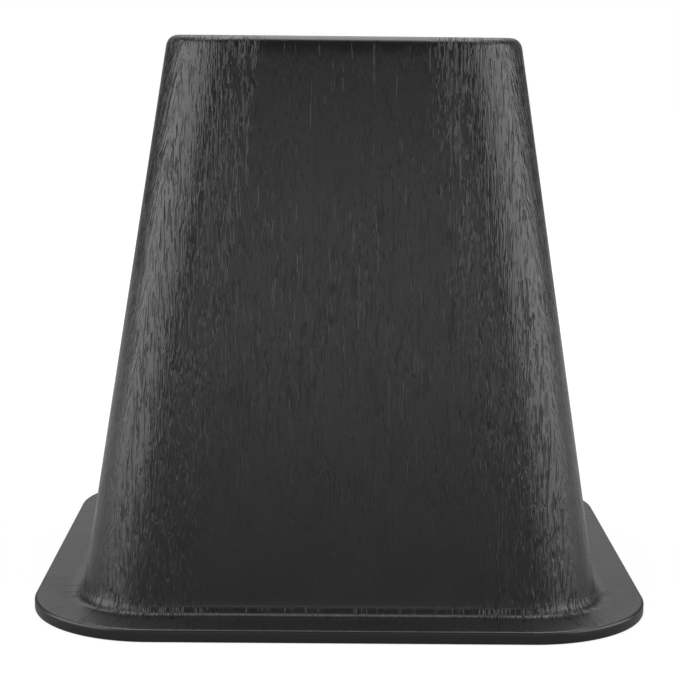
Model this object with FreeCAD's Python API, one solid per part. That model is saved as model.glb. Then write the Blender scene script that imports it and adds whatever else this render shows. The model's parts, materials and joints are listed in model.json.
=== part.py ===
"""Bed riser: one moulded block that lifts a bed leg off the floor.

A hollow square frustum with rounded corners stands on a flat flange. A shallow cup in the top takes the
leg, and crossed ribs under the cup carry its load to the walls. All of it is one moulding.

Millimetres, +Z up. The origin is on the floor, at the middle of the base. Front is -Y.
"""

import FreeCAD, Part

import math
import os

# Driving dimensions of the body
HEIGHT = 152.4
FOOT_WIDTH = 139.9  # the body's slope carried down to the floor
TOP_WIDTH = 95.1
FOOT_CORNER_RADIUS = 21.0
TOP_CORNER_RADIUS = 20.0
WALL = 3.0  # square to the slope
RIM_THICKNESS = 3.0
RIM_EDGE_RADIUS = 3.2

# Driving dimensions of the flange
FLANGE_REACH = 12.15  # how far the flange stands out past the foot of the slope
FLANGE_THICKNESS = 3.45
FLANGE_EDGE_RADIUS = 0.75
FOOT_FILLET = 3.0

# Driving dimensions of the leg cup
CUP_WIDTH = 76.0  # at the rim
CUP_DEPTH = 19.0
CUP_CORNER_RADIUS = 12.0
CUP_DRAFT_DEG = 2.0
CUP_MOUTH_RADIUS = 1.0
CUP_ROOT_RADIUS = 2.0
CUP_WALL = 3.0
CUP_FLOOR = 3.5

# Driving dimensions of the crossed ribs under the cup
RIB_THICKNESS = 2.5
RIB_LIFT = 10.0  # from the floor to the ribs' lower edge

# What follows from them
TAPER = (FOOT_WIDTH - TOP_WIDTH) / 2 / HEIGHT  # inward run for each unit of rise
WALL_ACROSS = WALL * math.hypot(1, TAPER)  # the wall's thickness measured level
INNER_FOOT_RADIUS = FOOT_FILLET + WALL  # keeps the wall even where it turns out into the flange
CUP_DRAFT = math.tan(math.radians(CUP_DRAFT_DEG))
CUP_FLOOR_Z = HEIGHT - CUP_DEPTH
CUP_UNDERSIDE_Z = CUP_FLOOR_Z - CUP_FLOOR
RIM_UNDERSIDE_Z = HEIGHT - RIM_THICKNESS

OVERSHOOT = 5.0  # how far a cutting solid runs past the face that it opens
SAME_PLANE = 1e-4


def rounded_square(width, radius, z):
    """The edges of a level square with round corners, centred on the Z axis: side, corner, side and so on."""
    half = width / 2
    inner = half - radius
    diagonal = inner + radius * math.sqrt(0.5)
    edges = []
    for quarter in range(4):
        turn = FreeCAD.Rotation(FreeCAD.Vector(0, 0, 1), 90 * quarter)
        marks = ((half, -inner), (half, inner), (diagonal, diagonal), (inner, half))
        side_start, side_end, corner_middle, corner_end = (
            turn.multVec(FreeCAD.Vector(x, y, z)) for x, y in marks
        )
        edges.append(Part.LineSegment(side_start, side_end).toShape())
        edges.append(Part.Arc(side_end, corner_middle, corner_end).toShape())
    return edges


def frustum(section, low, high):
    """A straight-sided solid between two heights. section gives the width and corner radius at a height."""
    low_edges = rounded_square(*section(low), low)
    high_edges = rounded_square(*section(high), high)
    faces = [Part.Face(Part.Wire(high_edges)), Part.Face(Part.Wire(low_edges))]
    for below, above in zip(low_edges, high_edges):
        if below.Curve.TypeId == "Part::GeomLine":
            start, end = (vertex.Point for vertex in below.Vertexes)
            above_start, above_end = (vertex.Point for vertex in above.Vertexes)
            faces.append(Part.Face(Part.makePolygon([start, end, above_end, above_start, start])))
        else:
            faces.append(Part.makeRuledSurface(below, above))
    shell = Part.Shell(faces)
    shell.sewShape()
    return Part.Solid(shell)


def body_section(inset):
    """The sloping body's width and corner radius by height, drawn in by inset."""

    def section(z):
        corner = FOOT_CORNER_RADIUS + (TOP_CORNER_RADIUS - FOOT_CORNER_RADIUS) * z / HEIGHT
        return FOOT_WIDTH - 2 * TAPER * z - 2 * inset, corner - inset

    return section


def cup_section(outset):
    """The cup's width and corner radius by height, grown by outset."""

    def section(z):
        drawn_in = (HEIGHT - z) * CUP_DRAFT - outset
        return CUP_WIDTH - 2 * drawn_in, CUP_CORNER_RADIUS - drawn_in

    return section


def level_edges(shape, z, within):
    """Edges that lie level at a height and reach less than a given distance from the middle planes."""
    found = []
    for edge in shape.Edges:
        box = edge.BoundBox
        if abs(box.ZMin - z) > SAME_PLANE or abs(box.ZMax - z) > SAME_PLANE:
            continue
        if max(box.XMax, -box.XMin, box.YMax, -box.YMin) < within:
            found.append(edge)
    return found


def make_flange():
    """The flat foot plate, with its outer edges rounded above and below."""
    width = FOOT_WIDTH + 2 * FLANGE_REACH
    outline = rounded_square(width, FOOT_CORNER_RADIUS + FLANGE_REACH, 0)
    plate = Part.Face(Part.Wire(outline)).extrude(FreeCAD.Vector(0, 0, FLANGE_THICKNESS))
    edges = []
    for z in (0, FLANGE_THICKNESS):
        edges += level_edges(plate, z, width)
    return plate.makeFillet(FLANGE_EDGE_RADIUS, edges)


def make_outside():
    """Flange and body as one full solid, with the foot fillet and the rim's round edge."""
    solid = make_flange().fuse(frustum(body_section(0), 0, HEIGHT)).removeSplitter()
    foot_reach = body_section(0)(FLANGE_THICKNESS)[0] / 2 + FLANGE_REACH / 2
    foot_edges = level_edges(solid, FLANGE_THICKNESS, foot_reach)
    solid = solid.makeFillet(FOOT_FILLET, foot_edges)
    rim_edges = level_edges(solid, HEIGHT, TOP_WIDTH)
    return solid.makeFillet(RIM_EDGE_RADIUS, rim_edges)


def make_shell():
    """The outside hollowed from below to an even wall."""
    hollow = frustum(body_section(WALL_ACROSS), -OVERSHOOT, RIM_UNDERSIDE_Z)
    shell = make_outside().cut(hollow)
    foot_edges = level_edges(shell, 0, FOOT_WIDTH / 2)
    return shell.makeFillet(INNER_FOOT_RADIUS, foot_edges)


def make_ribs():
    """Two crossed upright plates between the walls, which they end inside, up into the rim."""
    core = frustum(body_section(WALL_ACROSS / 2), RIB_LIFT, HEIGHT - RIM_THICKNESS / 2)
    plates = []
    for length_x, length_y in ((FOOT_WIDTH, RIB_THICKNESS), (RIB_THICKNESS, FOOT_WIDTH)):
        corner = FreeCAD.Vector(-length_x / 2, -length_y / 2, 0)
        plates.append(Part.makeBox(length_x, length_y, HEIGHT, corner))
    return plates[0].fuse(plates[1]).common(core)


def make_riser():
    """The whole moulding as one solid."""
    cup_block = frustum(cup_section(CUP_WALL), CUP_UNDERSIDE_Z, HEIGHT - RIM_THICKNESS / 2)
    cup_space = frustum(cup_section(0), CUP_FLOOR_Z, HEIGHT + OVERSHOOT)
    solid = make_shell().fuse([cup_block, make_ribs()]).cut(cup_space).removeSplitter()
    root_edges = level_edges(solid, CUP_FLOOR_Z, CUP_WIDTH)
    solid = solid.makeFillet(CUP_ROOT_RADIUS, root_edges)
    mouth_edges = level_edges(solid, HEIGHT, (CUP_WIDTH + TOP_WIDTH) / 4)
    return solid.makeFillet(CUP_MOUTH_RADIUS, mouth_edges)


os.makedirs("parts", exist_ok=True)
riser = make_riser()
riser.exportStep("parts/riser.step")
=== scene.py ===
"""Looks of a moulded bed riser: satin black plastic with an embossed wood grain, on a white studio floor.

The riser is one moulding. Its skin is drawn here as sheets that are rolled round the same rounded-square
outlines as the solid: a fine sheet outside, which carries the grain, and plain ones under it and in the cup.
"""

import json
import math

import bmesh
import bpy
from bpy.props import FloatProperty, FloatVectorProperty, IntProperty, PointerProperty
from mathutils import Matrix, Vector, noise


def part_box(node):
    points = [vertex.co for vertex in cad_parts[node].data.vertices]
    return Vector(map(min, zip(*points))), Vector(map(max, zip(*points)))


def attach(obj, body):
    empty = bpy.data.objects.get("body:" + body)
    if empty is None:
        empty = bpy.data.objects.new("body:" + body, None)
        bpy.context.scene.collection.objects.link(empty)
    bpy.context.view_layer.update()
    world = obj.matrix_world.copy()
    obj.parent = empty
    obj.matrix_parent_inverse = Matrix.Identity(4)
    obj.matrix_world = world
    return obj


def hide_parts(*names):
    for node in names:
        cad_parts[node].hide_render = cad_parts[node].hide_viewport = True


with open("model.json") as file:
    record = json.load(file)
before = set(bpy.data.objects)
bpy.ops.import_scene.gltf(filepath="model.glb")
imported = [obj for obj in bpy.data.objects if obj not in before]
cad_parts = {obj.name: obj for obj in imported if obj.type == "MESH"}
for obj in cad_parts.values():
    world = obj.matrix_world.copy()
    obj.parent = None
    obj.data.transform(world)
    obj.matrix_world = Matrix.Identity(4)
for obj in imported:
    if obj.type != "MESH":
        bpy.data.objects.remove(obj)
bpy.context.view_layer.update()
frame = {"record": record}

bl_info = {
    "name": "Bed riser",
    "version": (1, 0, 0),
    "blender": (4, 5, 0),
    "location": "3D View > Sidebar > Bed riser",
    "description": "Makes a moulded bed riser with an embossed wood grain and sets a white studio round it",
    "category": "Object",
}

RISER_LOW, RISER_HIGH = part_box("riser")
PLASTIC = frame["record"]["materials"][0]["base_color"]
MM = 0.001
RIGHT_ANGLE = math.radians(90)

# How crisp the grain is
FLAT_CRISPNESS = (0.1, 0.6, 0.33)  # on a flat side at the foot, half-way and at the rim
FLAT_GAIN_END = 0.45  # of the height, where the flat sides' grain is crispest
FLAT_LOSS_START = 0.55
FLAT_LOSS_SPAN = 0.4
CORNER_CRISPNESS = 1.9
CORNER_START = 0.7  # of the way from the middle of a side to its corner
SIDE_WEAR = 0.65  # of the grain that the left and right sides lack at the foot

# How strong the grain is on a row, against the wall, and the most that it comes to
RIM_EMBOSS = 0.8
RIM_FADE = ((2.4, 0.0), (1.2, 0.5))  # millimetres inside the rim's round edge, and the grain there
FILLET_EMBOSS = 3.4
FILLET_MOST = 2.2
FLANGE_EMBOSS = 5.5
FLANGE_MOST = 1.0
FLANGE_FADE = 0.3  # of the flange's grain that is lost at its edge

# The grain's two families: one for the front and back, one for the other two sides
FRONT_SEED = 0.5
SIDE_SEED = 9.5
FAMILY_STEP = 400  # millimetres from the grain of one side to that of the side across from it
TURN_START = 39  # degrees of a corner where the one family starts to turn into the other
TURN_SPAN = 12

# How dull the surface is, and the painted shade in its grooves
GROOVE_PAINTED_SHADE = 0.8  # painted shade: of the colour that a groove loses, for the shade that falls in it
GROOVE_ROUGHNESS = 0.1
MATT_ROUGHNESS = 0.2  # the flange is duller than the wall
FILLET_MATT = 0.25
EDGE_MATT = 0.3
PLASTIC_IOR = 1.49

# The bake map
STRIP = 0.2275  # height of a side's strip
STRIP_FILL = 0.98  # of it that is used
ISLAND_ANGLE = math.radians(66)
ISLAND_MARGIN = 0.004

# Rows and columns of the sheets
PLAIN_STEPS = 12  # columns on each side and on each corner of a plain sheet
RIM_ROWS = 6
WALL_ROWS = 56
FILLET_ROWS = 8
FLANGE_ROWS = 5
EDGE_ROWS = 4
PLAIN_ROWS = 6
MOUTH_ROWS = 5
CUP_SIDE_ROWS = 2
SHARP_ANGLE = math.radians(50)


def length(name, description, default):
    """A size in metres that a user may change."""
    return FloatProperty(name=name, description=description, default=default, precision=5, unit="LENGTH")


class RiserForm(bpy.types.PropertyGroup):
    """Sizes of the moulding."""

    height: length("Height", "From the floor to the rim", RISER_HIGH.z - RISER_LOW.z)
    base_width: length("Base width", "Across the flange", RISER_HIGH.x - RISER_LOW.x)
    foot_width: length("Foot width", "The body's slope carried down to the floor", 139.9 * MM)
    top_width: length("Top width", "The body's slope carried up to the rim", 95.1 * MM)
    foot_corner: length("Foot corner", "Corner radius of the body at the floor", 21 * MM)
    top_corner: length("Top corner", "Corner radius of the body at the rim", 20 * MM)
    wall: length("Wall", "Thickness of the body, square to its slope", 3 * MM)
    rim_thickness: length("Rim thickness", "Thickness of the level rim", 3 * MM)
    rim_round: length("Rim round", "Radius of the rim's outer edge", 3.2 * MM)
    flange_thickness: length("Flange thickness", "Thickness of the foot plate", 3.45 * MM)
    flange_round: length("Flange round", "Radius of the foot plate's edges", 0.75 * MM)
    foot_fillet: length("Foot fillet", "Radius where the body turns out into the flange", 3 * MM)
    cup_width: length("Cup width", "Width of the leg cup at the rim", 76 * MM)
    cup_depth: length("Cup depth", "Depth of the leg cup", 19 * MM)
    cup_corner: length("Cup corner", "Corner radius of the cup at the rim", 12 * MM)
    cup_draft: FloatProperty(
        name="Cup draft", description="Slope of the cup's walls", default=math.radians(2), subtype="ANGLE"
    )
    cup_mouth: length("Cup mouth", "Radius of the cup's upper edge", 1 * MM)
    cup_root: length("Cup root", "Radius between the cup's walls and floor", 2 * MM)
    cup_wall: length("Cup wall", "Thickness of the cup's walls", 3 * MM)
    cup_floor: length("Cup floor", "Thickness of the cup's floor", 3.5 * MM)
    rib_thickness: length("Rib thickness", "Thickness of the crossed ribs", 2.5 * MM)
    rib_lift: length("Rib lift", "From the floor to the ribs' lower edge", 10 * MM)
    side_steps: IntProperty(name="Side steps", description="Grained columns on each flat side", default=180)
    corner_steps: IntProperty(name="Corner steps", description="Grained columns on each corner", default=76)


class RiserFinish(bpy.types.PropertyGroup):
    """Colour and surface of the plastic."""

    plastic: FloatVectorProperty(
        name="Plastic",
        description="Colour of the plastic",
        default=PLASTIC,
        size=3,
        subtype="COLOR",
    )
    roughness: FloatProperty(
        name="Roughness", description="Roughness of the skin", default=0.26, subtype="FACTOR"
    )
    relief: length("Relief", "Depth of the broad waves of the grain, in the mesh", 0.025 * MM)
    groove: length("Groove", "Depth of the fine lines of the grain", 0.12 * MM)
    ripple: length("Ripple", "Height of the fine waves between the lines", 0.16 * MM)


class RiserStudio(bpy.types.PropertyGroup):
    """Light of the studio."""

    side_light: FloatProperty(name="Side light", description="Radiance of the side softboxes", default=3.15)
    top_light: FloatProperty(name="Top light", description="Radiance of the softbox overhead", default=3.2)
    front_light: FloatProperty(name="Front light", description="Radiance of the front panel", default=1.24)
    world_light: FloatProperty(name="World light", description="Radiance of the room", default=0.06)


# The outlines


def columns(side_steps, corner_steps):
    """Where each column of a rolled sheet stands: its corner of the core square and its way out from it."""
    found = []
    for quarter in range(4):
        turn = Matrix.Rotation(math.radians(90 * quarter), 2)
        for step in range(side_steps):
            along = 2 * step / side_steps - 1
            found.append((turn @ Vector((1, along)), turn @ Vector((1, 0))))
        for step in range(corner_steps):
            angle = RIGHT_ANGLE * step / corner_steps
            out = Vector((math.cos(angle), math.sin(angle)))
            found.append((turn @ Vector((1, 1)), turn @ out))
    return found


def eased(value):
    """A smooth step from 0 at 0 to 1 at 1."""
    share = min(1.0, max(0.0, value))
    return share * share * (3 - 2 * share)


def crispness(column, rise):
    """How crisp the grain is: most on the corners, worn on the flat sides near the foot and the rim."""
    corner, _ = column
    low, middle, high = FLAT_CRISPNESS
    flat = low + (middle - low) * min(1.0, rise / FLAT_GAIN_END)
    if rise > FLAT_LOSS_START:
        flat += (high - middle) * min(1.0, (rise - FLAT_LOSS_START) / FLAT_LOSS_SPAN)
    nearness = min(abs(corner.x), abs(corner.y))
    return flat + (CORNER_CRISPNESS - flat) * eased((nearness - CORNER_START) / (1 - CORNER_START))


def turned(column):
    """Whose grain a column carries: 0 on front and back, 1 on the other two sides, blended on a corner."""
    _, out = column
    angle = math.degrees(math.atan2(abs(out.x), abs(out.y)))
    return eased((angle - TURN_START) / TURN_SPAN)


def far_side(column):
    """Moves the back's grain from the front's, and the right side's from the left's, in millimetres."""
    _, out = column
    return Vector((FAMILY_STEP if out.y > 0 else 0, FAMILY_STEP if out.x > 0 else 0, 0))


class Row:
    """One level outline of a sheet: a square core, rounded out to half of its width, at a height.

    Emboss is the grain's strength on it and most its limit, wear is what the left and right sides lack of it,
    and matt is how dull the surface is.
    """

    def __init__(self, half, core, z, emboss=0.0, most=CORNER_CRISPNESS, wear=SIDE_WEAR, matt=0.0):
        self.half = half
        self.core = core
        self.z = z
        self.emboss = emboss
        self.most = most
        self.wear = wear
        self.matt = matt

    def point(self, column):
        """Where a column crosses this row."""
        corner, out = column
        flat = corner * self.core + out * (self.half - self.core)
        return Vector((flat.x, flat.y, self.z))

    def strength(self, column, height):
        """How strong the grain is on a column of this row."""
        rise = self.z / height
        kept = 1 - self.wear * turned(column) * (1 - rise * rise)
        return min(self.most, self.emboss * kept * crispness(column, rise))


def spread(first, last, steps):
    """Evenly spaced values from first to last, both included."""
    return [first + (last - first) * step / steps for step in range(steps + 1)]


class Profile:
    """The moulding's section: rows of outlines, worked out from the sizes."""

    def __init__(self, form):
        self.form = form
        self.taper = (form.foot_width - form.top_width) / 2 / form.height
        self.lean = math.hypot(1, self.taper)
        self.slope = math.atan(self.taper)
        self.foot_core = form.foot_width / 2 - form.foot_corner
        self.top_core = form.top_width / 2 - form.top_corner
        self.draft = math.tan(form.cup_draft)
        self.cup_floor_z = form.height - form.cup_depth
        self.cup_core = form.cup_width / 2 - form.cup_corner

    def wall(self, z):
        """Half of the body's width at a height."""
        return self.form.foot_width / 2 - self.taper * z

    def core(self, z):
        """Half of the square between the body's corners at a height."""
        return self.foot_core + (self.top_core - self.foot_core) * z / self.form.height

    def rim_centre(self):
        """Middle of the rim's round edge."""
        form = self.form
        z = form.height - form.rim_round
        return self.wall(z) - form.rim_round * self.lean, z

    def foot_centre(self):
        """Middle of the fillet between the body and the flange."""
        form = self.form
        z = form.flange_thickness + form.foot_fillet
        return self.wall(z) + form.foot_fillet * self.lean, z

    def outside(self):
        """Rows of the grained sheet, from the level rim out, down the body and round the flange's edge."""
        form = self.form
        rows = []
        rim_x, rim_z = self.rim_centre()
        top_core = self.core(form.height)
        for inward, emboss in RIM_FADE:
            rows.append(Row(rim_x - inward * MM, top_core, form.height, emboss))
        for angle in spread(RIGHT_ANGLE, self.slope, RIM_ROWS):
            z = rim_z + form.rim_round * math.sin(angle)
            rows.append(Row(rim_x + form.rim_round * math.cos(angle), self.core(z), z, RIM_EMBOSS))
        foot_x, foot_z = self.foot_centre()
        wall_top = rows.pop().z
        wall_foot = foot_z - form.foot_fillet * math.sin(self.slope)
        for z in spread(wall_top, wall_foot, WALL_ROWS):
            rows.append(Row(self.wall(z), self.core(z), z, 1.0))
        for angle in spread(self.slope, RIGHT_ANGLE, FILLET_ROWS)[1:]:
            z = foot_z - form.foot_fillet * math.sin(angle)
            half = foot_x - form.foot_fillet * math.cos(angle)
            rows.append(Row(half, self.core(z), z, FILLET_EMBOSS, FILLET_MOST, matt=FILLET_MATT))
        edge = form.base_width / 2 - form.flange_round
        plate_core = rows[-1].core
        for share in spread(0, 1, FLANGE_ROWS)[1:]:
            half = foot_x + (edge - foot_x) * share
            core = plate_core + (self.foot_core - plate_core) * share
            emboss = FLANGE_EMBOSS * (1 - FLANGE_FADE * share)
            rows.append(Row(half, core, form.flange_thickness, emboss, FLANGE_MOST, wear=0.0, matt=1.0))
        for angle in spread(RIGHT_ANGLE, 0, EDGE_ROWS)[1:]:
            z = form.flange_thickness - form.flange_round * (1 - math.sin(angle))
            rows.append(Row(edge + form.flange_round * math.cos(angle), self.foot_core, z, matt=EDGE_MATT))
        for angle in spread(0, RIGHT_ANGLE, EDGE_ROWS):
            z = form.flange_round * (1 - math.sin(angle))
            rows.append(Row(edge + form.flange_round * math.cos(angle), self.foot_core, z))
        return rows

    def inner_wall(self, z):
        """Half of the hollow's width at a height."""
        return self.wall(z) - self.form.wall * self.lean

    def underside(self):
        """Rows of the plain sheet below: the round foot, the walls, under the rim and round the cup."""
        form = self.form
        radius = form.foot_fillet + form.wall
        foot_x = self.inner_wall(radius) + radius * self.lean
        rows = []
        for angle in spread(RIGHT_ANGLE, self.slope, PLAIN_ROWS):
            z = radius * (1 - math.sin(angle))
            rows.append(Row(foot_x - radius * math.cos(angle), self.core(z), z))
        rim_z = form.height - form.rim_thickness
        for z in spread(rows[-1].z, rim_z, PLAIN_ROWS)[1:]:
            rows.append(Row(self.inner_wall(z), self.core(z), z))
        under_z = self.cup_floor_z - form.cup_floor
        for z in spread(rim_z, under_z, CUP_SIDE_ROWS):
            rows.append(Row(self.cup_half(z) + form.cup_wall, self.cup_core, z))
        return rows

    def cup_half(self, z):
        """Half of the cup's width at a height."""
        return self.form.cup_width / 2 - (self.form.height - z) * self.draft

    def cup(self):
        """Rows of the plain sheet in the cup: its mouth, its walls and the root at its floor."""
        form = self.form
        rows = []
        draft_lean = math.hypot(1, self.draft)
        mouth_z = form.height - form.cup_mouth
        mouth_x = self.cup_half(mouth_z) + form.cup_mouth * draft_lean
        for angle in spread(RIGHT_ANGLE, form.cup_draft, MOUTH_ROWS):
            z = mouth_z + form.cup_mouth * math.sin(angle)
            rows.append(Row(mouth_x - form.cup_mouth * math.cos(angle), self.cup_core, z))
        root_z = self.cup_floor_z + form.cup_root
        root_x = self.cup_half(root_z) - form.cup_root * draft_lean
        for angle in spread(-form.cup_draft, RIGHT_ANGLE, PLAIN_ROWS):
            z = root_z - form.cup_root * math.sin(angle)
            rows.append(Row(root_x + form.cup_root * math.cos(angle), self.cup_core, z))
        return rows


# The moulding


def roll_sheet(bm, rows, stand):
    """Rolls a flat grid round the rows' outlines and welds its two ends. Returns its rings of vertices."""
    width = len(stand) + 1
    grid = bmesh.ops.create_grid(
        bm, x_segments=len(stand), y_segments=len(rows) - 1, size=1.0, calc_uvs=True
    )["verts"]
    rings = []
    for number, row in enumerate(rows):
        ring = grid[number * width : (number + 1) * width]
        for place, vert in enumerate(ring):
            vert.co = row.point(stand[place % len(stand)])
        rings.append(ring)
    bmesh.ops.weld_verts(bm, targetmap={ring[-1]: ring[0] for ring in rings})
    return [ring[:-1] for ring in rings]


def lay_strips(faces, layer):
    """Cuts the rolled sheet's bake map into four strips, one for each side with a corner, and stacks them."""
    for face in faces:
        middle = sum(loop[layer].uv.x for loop in face.loops) / len(face.loops)
        quarter = min(3, int(4 * middle))
        for loop in face.loops:
            across, down = loop[layer].uv
            loop[layer].uv = (4 * across - quarter, (quarter + STRIP_FILL * down) * STRIP)


def lay_plain_faces(piece):
    """Unwraps the faces without grain into the band that the strips leave free on the bake map."""
    bpy.context.view_layer.objects.active = piece
    piece.select_set(True)
    piece.active_material_index = 1
    bpy.ops.object.mode_set(mode="EDIT")
    bpy.ops.mesh.select_all(action="DESELECT")
    bpy.ops.object.material_slot_select()
    bpy.ops.uv.smart_project(angle_limit=ISLAND_ANGLE, island_margin=ISLAND_MARGIN)
    bpy.ops.object.mode_set(mode="OBJECT")
    places = piece.data.uv_layers["OFBake"].uv
    for face in piece.data.polygons:
        if face.material_index == 1:
            for loop in face.loop_indices:
                across, up = places[loop].vector
                places[loop].vector = (across, 4 * STRIP + up * (1 - 4 * STRIP))


def ring_edges(bm, ring):
    """The edges round a ring of vertices."""
    return [bm.edges.get((ring[place - 1], ring[place])) for place in range(len(ring))]


# Broad and finer waves of the grain: their width and length in millimetres, their seed and their share
WAVES = ((2.3, 24, 0, 0.6), (1.6, 13, 40, 0.35))


def waves(across, along, seed):
    """The waves of one family's grain at a place in millimetres, about 0.5."""
    level = 0.5
    for width, reach, further, share in WAVES:
        level += share * noise.noise(Vector((across / width, seed + further, along / reach)))
    return min(1.0, max(0.0, level))


def relief(run, blend):
    """How deep the broad waves of the grain lie at a place, as a share from 0 to 1."""
    return (1 - blend) * waves(run.x, run.z, FRONT_SEED) + blend * waves(run.y, run.z, SIDE_SEED)


def press_grain(rings, rows, stand, profile, depth):
    """Works out each skin vertex's place on the grain and presses the broad waves into the mesh.

    The grain is laid as on one sloping wall that runs on past the rim and the foot. Its lines stand upright
    on the sides and run outwards on the flange.
    """
    marks = {}
    moves = {}
    z = profile.form.height
    for number, (ring, row) in enumerate(zip(rings, rows)):
        if number:
            above = rows[number - 1]
            z -= math.hypot(row.half - above.half, row.z - above.z) / profile.lean
        laid = Row(profile.wall(z), profile.core(z), z)
        for vert, column in zip(ring, stand):
            run = laid.point(column) / MM + far_side(column)
            marks[vert] = run
            strength = min(1.0, row.strength(column, profile.form.height))
            moves[vert] = vert.normal * depth * relief(run, turned(column)) * strength
    for vert, move in moves.items():
        vert.co -= move
    return marks


def draw_moulding(form, depth):
    """The closed skin of the moulding without its ribs, as a bmesh."""
    profile = Profile(form)
    bm = bmesh.new()
    bake_layer = bm.loops.layers.uv.new("OFBake")
    grain_layer = bm.verts.layers.float_vector.new("grain_run")
    turned_layer = bm.verts.layers.float.new("turned")
    emboss_layer = bm.verts.layers.float.new("emboss")
    matt_layer = bm.verts.layers.float.new("matt")
    fine = columns(form.side_steps, form.corner_steps)
    plain = columns(PLAIN_STEPS, PLAIN_STEPS)
    outside_rows = profile.outside()
    outside = roll_sheet(bm, outside_rows, fine)
    grained = set(bm.faces)
    lay_strips(grained, bake_layer)
    underside = roll_sheet(bm, profile.underside(), plain)
    cup = roll_sheet(bm, profile.cup(), plain)
    for outer, inner in ((outside[0], cup[0]), (outside[-1], underside[0])):
        rims = ring_edges(bm, outer) + ring_edges(bm, inner)
        bmesh.ops.triangle_fill(bm, edges=rims, use_beauty=True, normal=(0, 0, 1))
    for ring in (underside[-1], cup[-1]):
        bmesh.ops.contextual_create(bm, geom=ring_edges(bm, ring))
    bmesh.ops.recalc_face_normals(bm, faces=bm.faces[:])
    bm.normal_update()
    marks = press_grain(outside, outside_rows, fine, profile, depth)
    for ring, row in zip(outside, outside_rows):
        for vert, column in zip(ring, fine):
            vert[grain_layer] = marks[vert]
            vert[turned_layer] = turned(column)
            vert[emboss_layer] = row.strength(column, form.height)
            vert[matt_layer] = row.matt
    for face in bm.faces:
        face.smooth = True
        face.material_index = 0 if face in grained else 1
    return bm, profile


def new_piece(name, bm, materials):
    """A mesh object in the scene from a bmesh, with its materials."""
    mesh = bpy.data.meshes.new(name)
    bm.to_mesh(mesh)
    bm.free()
    for material in materials:
        mesh.materials.append(material)
    piece = bpy.data.objects.new(name, mesh)
    bpy.context.scene.collection.objects.link(piece)
    return piece


def draw_rib(profile, turn):
    """One upright rib as a bmesh. It ends inside the walls, the rim and the cup's walls and floor."""
    form = profile.form
    low = form.rib_lift
    high = form.height - form.rim_thickness / 2
    seat = profile.cup_floor_z - form.cup_floor / 2
    half_outline = (
        (profile.inner_wall(low) + form.wall / 2, low),
        (profile.inner_wall(high) + form.wall / 2, high),
        (profile.cup_half(high) + form.cup_wall / 2, high),
        (profile.cup_half(seat) + form.cup_wall / 2, seat),
    )
    outline = [*half_outline, *((-x, z) for x, z in reversed(half_outline))]
    bm = bmesh.new()
    corners = [bm.verts.new((x, -form.rib_thickness / 2, z)) for x, z in outline]
    edges = [bm.edges.new((corners[place - 1], corner)) for place, corner in enumerate(corners)]
    face = bmesh.ops.edgeloop_fill(bm, edges=edges)["faces"]
    grown = bmesh.ops.extrude_face_region(bm, geom=face)["geom"]
    moved = [part for part in grown if isinstance(part, bmesh.types.BMVert)]
    bmesh.ops.translate(bm, vec=(0, form.rib_thickness, 0), verts=moved)
    bmesh.ops.recalc_face_normals(bm, faces=bm.faces[:])
    facing = Matrix.Rotation(math.radians(turn), 3, "Z")
    bmesh.ops.rotate(bm, cent=(0, 0, 0), matrix=facing, verts=bm.verts)
    for each in bm.faces:
        each.material_index = 1
    return bm


def add_ribs(piece, profile):
    """Joins the two crossed ribs to the moulding."""
    for turn in (0, 90):
        rib = new_piece("rib", draw_rib(profile, turn), piece.data.materials)
        union = piece.modifiers.new("rib", "BOOLEAN")
        union.operation = "UNION"
        union.solver = "MANIFOLD"
        union.object = rib
        graph = bpy.context.evaluated_depsgraph_get()
        joined = bpy.data.meshes.new_from_object(piece.evaluated_get(graph), depsgraph=graph)
        piece.modifiers.remove(union)
        bpy.data.objects.remove(rib)
        piece.data = joined


class RISER_OT_make_moulding(bpy.types.Operator):
    """Make the moulding with its grained skin"""

    bl_idname = "riser.make_moulding"
    bl_label = "Make moulding"

    def execute(self, context):
        """Builds the moulding from the sizes and finish in the scene."""
        form = context.scene.riser_form
        finish = context.scene.riser_finish
        materials = [grained_plastic(finish), plain_plastic(finish)]
        bm, profile = draw_moulding(form, finish.relief)
        piece = new_piece("riser_moulding", bm, materials)
        add_ribs(piece, profile)
        lay_plain_faces(piece)
        piece.data.set_sharp_from_angle(angle=SHARP_ANGLE)
        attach(piece, "root")
        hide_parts("riser")
        return {"FINISHED"}


# Materials


def node(tree, kind, settings=None, **values):
    """A new node with its settings and the values of its inputs. A value that is a socket is linked."""
    made = tree.nodes.new(kind)
    for key, value in (settings or {}).items():
        setattr(made, key, value)
    for key, value in values.items():
        socket = made.inputs[int(key[1:])] if key[0] == "i" and key[1:].isdigit() else made.inputs[key]
        if isinstance(value, bpy.types.NodeSocket):
            tree.links.new(value, socket)
        else:
            socket.default_value = value
    return made


def maths(tree, operation, first, second=0.0, third=0.0):
    """The output of a Math node."""
    made = node(tree, "ShaderNodeMath", {"operation": operation}, i0=first, i1=second, i2=third)
    return made.outputs[0]


def scaled(tree, vector, share):
    """A vector or colour made smaller or larger."""
    made = node(tree, "ShaderNodeVectorMath", {"operation": "SCALE"}, i0=vector, Scale=share)
    return made.outputs[0]


def attribute(tree, name, output="Fac"):
    """A value that the mesh carries at its vertices."""
    return node(tree, "ShaderNodeAttribute", {"attribute_name": name}).outputs[output]


def mixed(tree, share, first, second):
    """First where the share is 0, second where it is 1."""
    return maths(tree, "MULTIPLY_ADD", share, maths(tree, "SUBTRACT", second, first), first)


def ramp(tree, value, low, high):
    """A smooth step from 0 at low to 1 at high."""
    made = node(
        tree,
        "ShaderNodeMapRange",
        {"interpolation_type": "SMOOTHSTEP"},
        Value=value,
        i1=low,
        i2=high,
        i3=0.0,
        i4=1.0,
    )
    return made.outputs[0]


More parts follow.
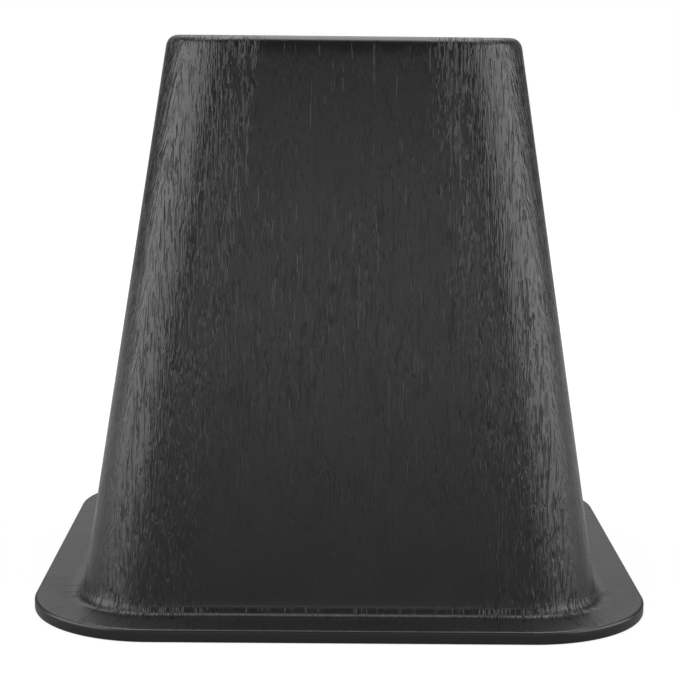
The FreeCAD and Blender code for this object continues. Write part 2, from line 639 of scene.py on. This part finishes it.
def stretched(tree, vector, across, along, seed=0.0):
    """A vector in millimetres drawn out along the grain, moved to a place of its own."""
    made = node(
        tree,
        "ShaderNodeMapping",
        Vector=vector,
        Location=(seed, seed, seed),
        Scale=(1 / across, 1 / across, 1 / along),
    )
    return made.outputs[0]


def cloud(tree, vector, detail=0.0, roughness=0.5, distortion=0.0):
    """Smooth noise about 0.5."""
    made = node(
        tree,
        "ShaderNodeTexNoise",
        Vector=vector,
        Scale=1.0,
        Detail=detail,
        Roughness=roughness,
        Distortion=distortion,
    )
    return made.outputs["Fac"]


def new_group(name, inputs, outputs):
    """An empty shader node group with named sockets. Returns the tree and its inner ends."""
    tree = bpy.data.node_groups.new(name, "ShaderNodeTree")
    for socket, kind in inputs:
        tree.interface.new_socket(socket, in_out="INPUT", socket_type=kind)
    for socket, kind in outputs:
        tree.interface.new_socket(socket, in_out="OUTPUT", socket_type=kind)
    return tree, tree.nodes.new("NodeGroupInput"), tree.nodes.new("NodeGroupOutput")


# Sizes of the plastic's mottle and peel in millimetres, and what they do
MOTTLE = 14
MOTTLE_SHADE = (0.3, 0.85)  # change of colour with the mottle, and the least
MOTTLE_ROUGHNESS = (0.12, -0.06)
PEEL = (0.45, 0.6)
PEEL_HEIGHT = 0.012


def plastic_skin_group():
    """Mottled colour and roughness and the fine orange peel of a moulded satin skin."""
    name = "plastic_skin"
    if name in bpy.data.node_groups:
        return bpy.data.node_groups[name]
    tree, start, end = new_group(
        name,
        [("Place", "NodeSocketVector"), ("Colour", "NodeSocketColor"), ("Roughness", "NodeSocketFloat")],
        [("Colour", "NodeSocketColor"), ("Roughness", "NodeSocketFloat"), ("Height", "NodeSocketFloat")],
    )
    place = start.outputs["Place"]
    mottle = cloud(tree, stretched(tree, place, MOTTLE, MOTTLE), detail=3)
    peel = cloud(tree, stretched(tree, place, *PEEL, seed=7), detail=1.5)
    shade = maths(tree, "MULTIPLY_ADD", mottle, *MOTTLE_SHADE)
    change = maths(tree, "MULTIPLY_ADD", mottle, *MOTTLE_ROUGHNESS)
    tree.links.new(scaled(tree, start.outputs["Colour"], shade), end.inputs["Colour"])
    tree.links.new(maths(tree, "ADD", start.outputs["Roughness"], change), end.inputs["Roughness"])
    tree.links.new(maths(tree, "MULTIPLY", peel, PEEL_HEIGHT), end.inputs["Height"])
    return tree


# The grain's lines: millimetres across and along, their width as a share, and their seed
LONG_LINES = (1.2, 17, 0.065, 3)
SHORT_LINES = (0.75, 8, 0.07, 23)
SHORT_DEPTH = 0.45  # of the long lines' depth
DASH_SIZE = (0.8, 0.35)  # of the lines' size, across and along
DASH_RAMP = (0.42, 0.56)
# Its other noise: millimetres across and along, and the seed
WOBBLE = (2.4, 3.2, 77)
WOBBLE_SHIFT = (0.6, -0.3)  # millimetres sideways over the whole wobble, and at its lowest
RIPPLES = (0.42, 4.5, 37)
RIPPLE_MOST = 0.75
PATCHES = (16, 34, 64)
PATCH_RAMP = (0.32, 0.62)
PATCH_SHARE = (0.45, 0.55)  # of the grain that comes and goes with the patches, and that stays


def broken_lines(tree, run, across, along, width, seed):
    """Thin wavy lines along the grain, broken into dashes: 1 in the line, 0 beside it."""
    field = cloud(tree, stretched(tree, run, across, along, seed), detail=1.0, distortion=0.15)
    off = maths(tree, "ABSOLUTE", maths(tree, "SUBTRACT", field, 0.5))
    line = maths(tree, "SUBTRACT", 1.0, ramp(tree, off, 0.0, width))
    dash_across, dash_along = DASH_SIZE
    laid = stretched(tree, run, across * dash_across, along * dash_along, seed + 11)
    dashes = cloud(tree, laid, detail=1.0)
    return maths(tree, "MULTIPLY", line, ramp(tree, dashes, *DASH_RAMP))


def wood_grain_group():
    """The embossed grain in millimetres of height: broken grooves of two sizes on ripples, in patches."""
    tree, start, end = new_group(
        "wood_grain",
        [
            ("Run", "NodeSocketVector"),
            ("Emboss", "NodeSocketFloat"),
            ("Depth", "NodeSocketFloat"),
            ("Ripple", "NodeSocketFloat"),
        ],
        [("Height", "NodeSocketFloat"), ("Groove", "NodeSocketFloat")],
    )
    wobble = cloud(tree, stretched(tree, start.outputs["Run"], *WOBBLE), detail=1.0)
    shift = maths(tree, "MULTIPLY_ADD", wobble, *WOBBLE_SHIFT)
    sideways = node(tree, "ShaderNodeCombineXYZ", X=shift).outputs[0]
    shifted = node(tree, "ShaderNodeVectorMath", {"operation": "ADD"}, i0=start.outputs["Run"], i1=sideways)
    run = shifted.outputs[0]
    long_lines = broken_lines(tree, run, *LONG_LINES)
    short_lines = broken_lines(tree, run, *SHORT_LINES)
    lines = maths(tree, "MAXIMUM", long_lines, maths(tree, "MULTIPLY", short_lines, SHORT_DEPTH))
    ripples = cloud(tree, stretched(tree, run, *RIPPLES), detail=1.0)
    patches = ramp(tree, cloud(tree, stretched(tree, run, *PATCHES), detail=1.5), *PATCH_RAMP)
    share = maths(tree, "MULTIPLY_ADD", patches, *PATCH_SHARE)
    strength = maths(tree, "MULTIPLY", start.outputs["Emboss"], share)
    soft = maths(tree, "MULTIPLY", maths(tree, "MINIMUM", strength, RIPPLE_MOST), start.outputs["Ripple"])
    raised = maths(tree, "MULTIPLY", ripples, soft)
    groove = maths(tree, "MULTIPLY", lines, strength)
    deep = maths(tree, "MULTIPLY", groove, start.outputs["Depth"])
    tree.links.new(maths(tree, "SUBTRACT", raised, deep), end.inputs["Height"])
    tree.links.new(groove, end.inputs["Groove"])
    return tree


def new_plastic(name, finish):
    """A material with its satin plastic shader. Returns it with its tree, its shader and its skin group."""
    material = bpy.data.materials.new(name)
    material.use_nodes = True
    tree = material.node_tree
    shader = tree.nodes["Principled BSDF"]
    shader.inputs["IOR"].default_value = PLASTIC_IOR
    skin = tree.nodes.new("ShaderNodeGroup")
    skin.node_tree = plastic_skin_group()
    skin.inputs["Colour"].default_value = (*finish.plastic, 1.0)
    skin.inputs["Roughness"].default_value = finish.roughness
    tree.links.new(skin.outputs["Colour"], shader.inputs["Base Color"])
    tree.links.new(skin.outputs["Roughness"], shader.inputs["Roughness"])
    return material, tree, shader, skin


def bump(tree, shader, height):
    """Leads a height in millimetres to the shader's normal."""
    made = node(tree, "ShaderNodeBump", Strength=1.0, Distance=MM, Height=height)
    tree.links.new(made.outputs["Normal"], shader.inputs["Normal"])


def millimetres(tree):
    """Object coordinates in millimetres."""
    place = node(tree, "ShaderNodeTexCoord").outputs["Object"]
    return scaled(tree, place, 1 / MM)


def grained_plastic(finish):
    """The outside: satin black plastic with the embossed grain and painted shade darkening its grooves."""
    material, tree, shader, skin = new_plastic("grained_black_plastic", finish)
    run = attribute(tree, "grain_run", "Vector")
    place = node(tree, "ShaderNodeSeparateXYZ", Vector=run).outputs
    emboss = attribute(tree, "emboss")
    blend = attribute(tree, "turned")
    grain_group = wood_grain_group()
    families = []
    for across, seed in (("X", FRONT_SEED), ("Y", SIDE_SEED)):
        laid = node(tree, "ShaderNodeCombineXYZ", X=place[across], Y=seed, Z=place["Z"]).outputs[0]
        families.append(node(
            tree,
            "ShaderNodeGroup",
            {"node_tree": grain_group},
            Run=laid,
            Emboss=emboss,
            Depth=finish.groove / MM,
            Ripple=finish.ripple / MM,
        ))
    front, side = families
    height = mixed(tree, blend, front.outputs["Height"], side.outputs["Height"])
    groove = mixed(tree, blend, front.outputs["Groove"], side.outputs["Groove"])
    tree.links.new(millimetres(tree), skin.inputs["Place"])
    # Painted shade: the colour is darkened in the grooves, where shade would fall
    shade = maths(tree, "MULTIPLY_ADD", maths(tree, "MINIMUM", groove, 1.0), -GROOVE_PAINTED_SHADE, 1.0)
    tree.links.new(scaled(tree, skin.outputs["Colour"], shade), shader.inputs["Base Color"])
    rough = maths(tree, "MULTIPLY_ADD", groove, GROOVE_ROUGHNESS, skin.outputs["Roughness"])
    rough = maths(tree, "MULTIPLY_ADD", attribute(tree, "matt"), MATT_ROUGHNESS, rough)
    tree.links.new(rough, shader.inputs["Roughness"])
    bump(tree, shader, maths(tree, "ADD", height, skin.outputs["Height"]))
    return material


def plain_plastic(finish):
    """The underside, the cup and the ribs: the same plastic without the grain."""
    material, tree, shader, skin = new_plastic("plain_black_plastic", finish)
    tree.links.new(millimetres(tree), skin.inputs["Place"])
    bump(tree, shader, skin.outputs["Height"])
    return material


# The stage

# The camera that the photograph's outline gives, in metres and radians
FRAME_PIXELS = 680
FOCAL_PIXELS = 1853.67
SENSOR = 36.0
CAMERA_AWAY = 0.5341
CAMERA_ASIDE = -0.00012
CAMERA_UP = 0.15057
OBJECT_TURN = 0.0089
LOOK_DOWN = 0.1588
ROLL = 0.01

CAMERA_CLIP = 0.01

# Panels of light: name, azimuth, elevation, distance, width, height and whose radiance they have
LAMPS = (
    ("softbox_left", -77, 22, 1.2, 1.55, 1.0, "side_light"),
    ("softbox_right", 77, 22, 1.2, 1.55, 1.0, "side_light"),
    ("softbox_top", 180, 85, 1.2, 1.6, 0.5, "top_light"),
    ("front_panel", 0, 9.8, 1.5, 1.4, 0.36, "front_light"),
)

WHITE = (1.0, 1.0, 1.0, 1.0)
STAGE_SIZE = 8.0
FLOOR_ALBEDO = 0.2
FLOOR_GAP = 0.02 * MM  # keeps the floor clear of the flange's underside
FLOOR_GLOW = 0.85  # of white, near the riser, so that its shadow shows
SHADOW_FADE = (0.15, 0.6)  # how far from the middle the floor starts and ends to turn full white
BACKDROP_SHARE = 0.47  # of the white behind the riser that a glossy surface sees
FLOOR_SHARE = 0.21  # of the white floor before it
FLOOR_BEHIND = (-0.06, 0.06)  # where the one turns into the other, along Y
BACKDROP_BEHIND = (0.0, 0.25)  # where the backdrop fades in, by the Y of the way to it
BACKDROP_EDGE = (0.3, 0.5)  # where it fades out, by the X
UPPER_SHARE = 2.6  # of the white high on the backdrop
BACKDROP_LIFT = (0.35, 0.7)  # where that fades in, by the Z


def place_camera():
    """Sets the camera where the photograph was taken from."""
    turn = Matrix.Rotation(-OBJECT_TURN, 3, "Z")
    ahead = turn @ Vector((0, math.cos(LOOK_DOWN), -math.sin(LOOK_DOWN)))
    level = turn @ Vector((1, 0, 0))
    upright = level.cross(ahead)
    right = math.cos(ROLL) * level + math.sin(ROLL) * upright
    up = math.cos(ROLL) * upright - math.sin(ROLL) * level
    data = bpy.data.cameras.new("camera")
    data.sensor_width = SENSOR
    data.lens = SENSOR * FOCAL_PIXELS / FRAME_PIXELS
    data.clip_start = CAMERA_CLIP
    camera = bpy.data.objects.new("camera", data)
    facing = Matrix((right, up, -ahead)).transposed().to_4x4()
    camera.matrix_world = Matrix.Translation(turn @ Vector((CAMERA_ASIDE, -CAMERA_AWAY, CAMERA_UP))) @ facing
    bpy.context.scene.collection.objects.link(camera)
    bpy.context.scene.camera = camera


def softbox(name, azimuth, elevation, away, width, tall, radiance):
    """A flat panel of light that faces the riser. Azimuth 0 is the camera's side, and 90 the right."""
    target = Vector((0, 0, (RISER_LOW.z + RISER_HIGH.z) / 2))
    level = math.cos(math.radians(elevation))
    way = Vector((
        math.sin(math.radians(azimuth)) * level,
        -math.cos(math.radians(azimuth)) * level,
        math.sin(math.radians(elevation)),
    ))
    data = bpy.data.lights.new(name, "AREA")
    data.shape = "RECTANGLE"
    data.size = width
    data.size_y = tall
    data.energy = radiance * math.pi * width * tall
    lamp = bpy.data.objects.new(name, data)
    lamp.location = target + way * away
    lamp.rotation_euler = way.to_track_quat("Z", "Y").to_euler()
    lamp.visible_camera = False
    bpy.context.scene.collection.objects.link(lamp)


def white_share(tree, glossy_share):
    """1 for what the camera sees, and a share for what a glossy surface sees."""
    path = tree.nodes.new("ShaderNodeLightPath")
    seen = maths(tree, "MAXIMUM", path.outputs["Is Camera Ray"], path.outputs["Is Transmission Ray"])
    return maths(tree, "MAXIMUM", seen, maths(tree, "MULTIPLY", path.outputs["Is Glossy Ray"], glossy_share))


def white_floor():
    """A wide floor that shows white and keeps the riser's shadow."""
    bm = bmesh.new()
    lowered = Matrix.Translation((0, 0, -FLOOR_GAP))
    bmesh.ops.create_grid(bm, x_segments=1, y_segments=1, size=STAGE_SIZE / 2, matrix=lowered)
    material = bpy.data.materials.new("white_floor")
    material.use_nodes = True
    tree = material.node_tree
    shader = tree.nodes["Principled BSDF"]
    shader.inputs["Base Color"].default_value = (FLOOR_ALBEDO, FLOOR_ALBEDO, FLOOR_ALBEDO, 1.0)
    shader.inputs["Roughness"].default_value = 1.0
    shader.inputs["Specular IOR Level"].default_value = 0.0
    shader.inputs["Emission Color"].default_value = WHITE
    place = node(tree, "ShaderNodeTexCoord").outputs["Object"]
    away = node(tree, "ShaderNodeVectorMath", {"operation": "LENGTH"}, i0=place).outputs["Value"]
    glow = maths(tree, "MULTIPLY_ADD", ramp(tree, away, *SHADOW_FADE), 1 - FLOOR_GLOW, FLOOR_GLOW)
    along = node(tree, "ShaderNodeSeparateXYZ", Vector=place).outputs["Y"]
    behind = ramp(tree, along, *FLOOR_BEHIND)
    glossy = maths(tree, "MULTIPLY_ADD", behind, BACKDROP_SHARE - FLOOR_SHARE, FLOOR_SHARE)
    strength = maths(tree, "MULTIPLY", white_share(tree, glossy), glow)
    tree.links.new(strength, shader.inputs["Emission Strength"])
    floor = new_piece("floor", bm, [material])


def white_room(radiance):
    """A world that shows white to the camera, with a white backdrop in a dim room."""
    world = bpy.data.worlds.new("white_room")
    world.use_nodes = True
    tree = world.node_tree
    background = tree.nodes["Background"]
    background.inputs["Color"].default_value = WHITE
    way = node(tree, "ShaderNodeSeparateXYZ", Vector=node(tree, "ShaderNodeTexCoord").outputs["Generated"])
    aside = maths(tree, "ABSOLUTE", way.outputs["X"])
    width = maths(tree, "SUBTRACT", 1.0, ramp(tree, aside, *BACKDROP_EDGE))
    backdrop = maths(tree, "MULTIPLY", width, ramp(tree, way.outputs["Y"], *BACKDROP_BEHIND))
    lift = ramp(tree, way.outputs["Z"], *BACKDROP_LIFT)
    level = maths(tree, "MULTIPLY_ADD", lift, UPPER_SHARE - BACKDROP_SHARE, BACKDROP_SHARE)
    share = white_share(tree, maths(tree, "MULTIPLY", backdrop, level))
    tree.links.new(maths(tree, "MAXIMUM", share, radiance), background.inputs["Strength"])
    bpy.context.scene.world = world


class RISER_OT_set_stage(bpy.types.Operator):
    """Set the floor, the light and the camera"""

    bl_idname = "riser.set_stage"
    bl_label = "Set stage"

    def execute(self, context):
        """Builds the stage from the light in the scene."""
        studio = context.scene.riser_studio
        white_floor()
        white_room(studio.world_light)
        for *panel, light in LAMPS:
            softbox(*panel, getattr(studio, light))
        place_camera()
        context.scene.view_settings.view_transform = "Standard"
        return {"FINISHED"}


class RISER_PT_sidebar(bpy.types.Panel):
    """Sizes, finish and stage of the riser"""

    bl_idname = "RISER_PT_sidebar"
    bl_label = "Bed riser"
    bl_space_type = "VIEW_3D"
    bl_region_type = "UI"
    bl_category = "Bed riser"

    def draw(self, context):
        """Lists every property and both operators."""
        scene = context.scene
        for group in (scene.riser_form, scene.riser_finish, scene.riser_studio):
            box = self.layout.box()
            for name in group.__annotations__:
                box.prop(group, name)
        for operator in (RISER_OT_make_moulding, RISER_OT_set_stage):
            self.layout.operator(operator.bl_idname)


GROUPS = {"riser_form": RiserForm, "riser_finish": RiserFinish, "riser_studio": RiserStudio}
CLASSES = (*GROUPS.values(), RISER_OT_make_moulding, RISER_OT_set_stage, RISER_PT_sidebar)


def register():
    """Adds the classes and the scene's properties."""
    for each in CLASSES:
        bpy.utils.register_class(each)
    for name, group in GROUPS.items():
        setattr(bpy.types.Scene, name, PointerProperty(type=group))


def unregister():
    """Takes the properties and the classes away again."""
    for name in GROUPS:
        delattr(bpy.types.Scene, name)
    for each in reversed(CLASSES):
        bpy.utils.unregister_class(each)


def main():
    """Makes the riser and its stage."""
    register()
    bpy.ops.riser.make_moulding()
    bpy.ops.riser.set_stage()


if __name__ == "__main__":
    main()
